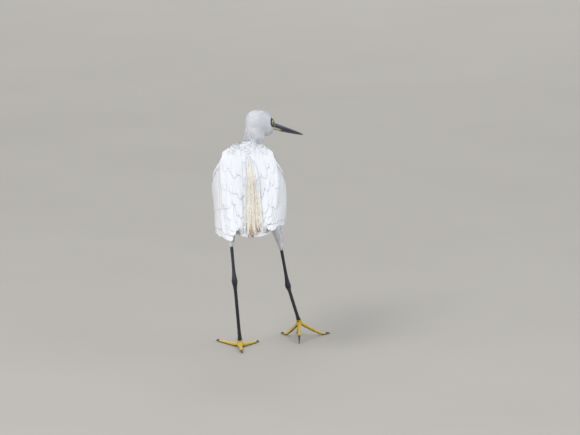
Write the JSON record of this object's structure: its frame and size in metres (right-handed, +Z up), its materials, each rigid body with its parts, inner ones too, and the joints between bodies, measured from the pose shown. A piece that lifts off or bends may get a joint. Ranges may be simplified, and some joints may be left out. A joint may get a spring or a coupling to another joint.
{
  "type": "little egret",
  "caption": "still life-size little egret in mid step: white heron with folded wings, long fine back plumes, drawn-in neck, head turned right, dagger bill, black legs, yellow feet",
  "frame": {"origin": "on the floor under the middle of the bird's box", "axes": "+Z up, the bird's body faces -Y, its left side is at +X"},
  "size_m": [0.1804, 0.3178, 0.3501],
  "materials": {
    "white_plumage": "soft matte feathers, cream on the back plumes",
    "dark_bill": "slate black horn with a soft shine, paler at the base of the lower half",
    "yellow_eye": "wet shine, dull yellow round a black pupil",
    "black_leg": "scaled skin, blue black",
    "yellow_foot": "scaled skin, yellow with mud below",
    "claw_horn": "dark horn"
  },
  "bodies": {
    "root": {"torso": "white_plumage", "tail": "white_plumage", "wing_l": "white_plumage", "wing_r": "white_plumage", "head": "white_plumage", "neck_lower": "white_plumage", "neck_upper": "white_plumage", "thigh_l": "white_plumage", "thigh_r": "white_plumage", "bill_upper": "dark_bill", "bill_lower": "dark_bill", "eye_l": "yellow_eye", "eye_r": "yellow_eye", "tibia_l": "black_leg", "tibia_r": "black_leg", "tarsus_l": "black_leg", "tarsus_r": "black_leg", "foot_l": "yellow_foot", "foot_r": "yellow_foot", "claw_inner_l": "claw_horn", "claw_middle_l": "claw_horn", "claw_outer_l": "claw_horn", "claw_hind_l": "claw_horn", "claw_inner_r": "claw_horn", "claw_middle_r": "claw_horn", "claw_outer_r": "claw_horn", "claw_hind_r": "claw_horn"}
  },
  "joints": []
}
